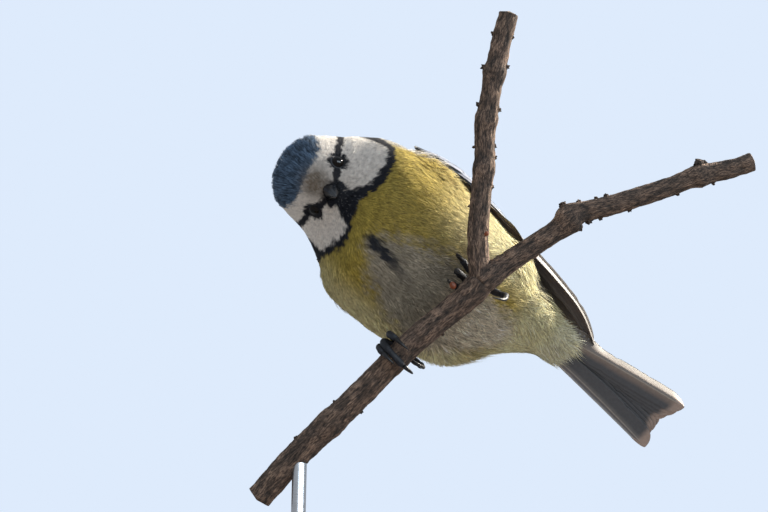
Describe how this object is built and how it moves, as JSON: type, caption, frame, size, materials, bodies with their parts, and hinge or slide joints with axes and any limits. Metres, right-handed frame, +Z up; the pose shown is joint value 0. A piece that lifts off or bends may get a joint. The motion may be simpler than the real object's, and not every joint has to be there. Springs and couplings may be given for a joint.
{
  "type": "blue tit on a display stand",
  "caption": "Life-size still model of a blue tit gripping a forked twig, head bowed and cocked, on a round display stand with one rod.",
  "frame": {"origin": "centre of the underside of the stand's round base, on the surface that the model stands on", "axes": "+Z up; -Y towards the side that the bird's belly and face turn to; +X towards the tail and the twig's side arm"},
  "size_m": [0.1415, 0.12, 0.1994],
  "materials": {
    "head_plumage": "soft small feathers, blue cap, white brow and cheek, black eye stripe and bib",
    "body_plumage": "fluffed small feathers, yellow below with a grey-white belly, greenish grey above",
    "tail_feathers": "matt vanes, slate grey, paler edges",
    "wing_feathers": "matt vanes, blue-grey with pale edges and one white bar",
    "bill": "hard horn, satin black",
    "eye": "wet, polished, nearly black",
    "leg_skin": "scaly, satin slate blue",
    "claw": "hard horn, satin",
    "bark": "rough thin bark, grey brown",
    "stand_wood": "turned, oiled dark wood",
    "stand_steel": "fine brushed"
  },
  "bodies": {
    "root": {"head": "head_plumage", "neck": "body_plumage", "torso": "body_plumage", "tail": "tail_feathers", "wing_left": "wing_feathers", "wing_right": "wing_feathers", "bill_upper": "bill", "bill_lower": "bill", "eye_left": "eye", "eye_right": "eye", "leg_left": "leg_skin", "leg_right": "leg_skin", "claw_left_inner": "claw", "claw_left_middle": "claw", "claw_left_outer": "claw", "claw_left_rear": "claw", "claw_right_inner": "claw", "claw_right_middle": "claw", "claw_right_outer": "claw", "claw_right_rear": "claw", "perch_stem": "bark", "perch_upright": "bark", "perch_side": "bark", "stand_base": "stand_wood", "stand_rod": "stand_steel", "stand_collar": "stand_steel"}
  },
  "joints": []
}
